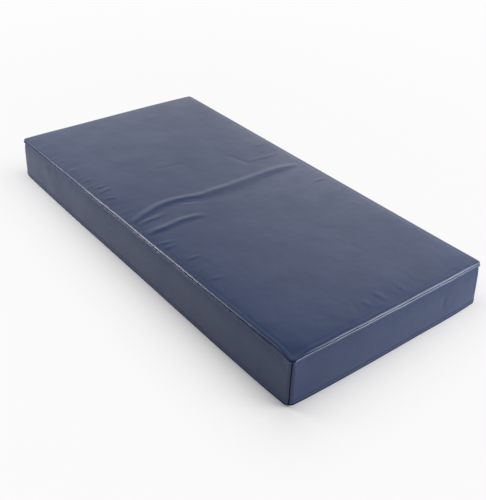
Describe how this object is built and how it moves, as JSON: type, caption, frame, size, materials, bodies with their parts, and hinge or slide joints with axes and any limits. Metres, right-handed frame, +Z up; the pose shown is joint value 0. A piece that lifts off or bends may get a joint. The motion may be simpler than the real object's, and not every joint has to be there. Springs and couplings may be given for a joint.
{
  "type": "foam mattress",
  "caption": "Cot mattress: a foam block in a smooth coated-fabric cover that closes with a zip along the rear border.",
  "frame": {"origin": "middle of the underside, on the surface that the mattress lies on", "axes": "+X along the length, +Y across the width to the side with the zip, +Z up"},
  "size_m": [1.2117, 0.6094, 0.1295],
  "materials": {
    "foam": "open-cell polyurethane foam, matt",
    "coated_fabric": "coated fabric with a faint grain and a soft gloss, navy",
    "zip_tape": "woven polyester, dark navy",
    "zip_coil": "nylon monofilament, dark navy, satin",
    "zip_metal": "nickel-plated zinc, satin"
  },
  "bodies": {
    "mattress": {"foam_core": "foam", "cover_top_panel": "coated_fabric", "cover_bottom_panel": "coated_fabric", "border_front": "coated_fabric", "border_right": "coated_fabric", "border_left": "coated_fabric", "border_rear_right_end": "coated_fabric", "border_rear_left_end": "coated_fabric", "zip_strip_upper": "coated_fabric", "zip_strip_lower": "coated_fabric", "zip_tape_upper": "zip_tape", "zip_tape_lower": "zip_tape", "zip_coil_upper": "zip_coil", "zip_coil_lower": "zip_coil", "zip_stop_closed_end": "zip_metal", "zip_stop_open_end": "zip_metal"},
    "slider": {"zip_slider": "zip_metal"},
    "tab": {"zip_pull_tab": "zip_metal"}
  },
  "joints": [
    {"name": "zip_slide", "type": "slide", "parent": "mattress", "child": "slider", "axis": [1, 0, 0], "range_m": [-1.062, 0]},
    {"name": "tab_swing", "type": "hinge", "parent": "slider", "child": "tab", "pos_m": [0.531, 0.3029, 0.06175], "axis": [0, 0, 1], "range_deg": [-180, 0]}
  ]
}
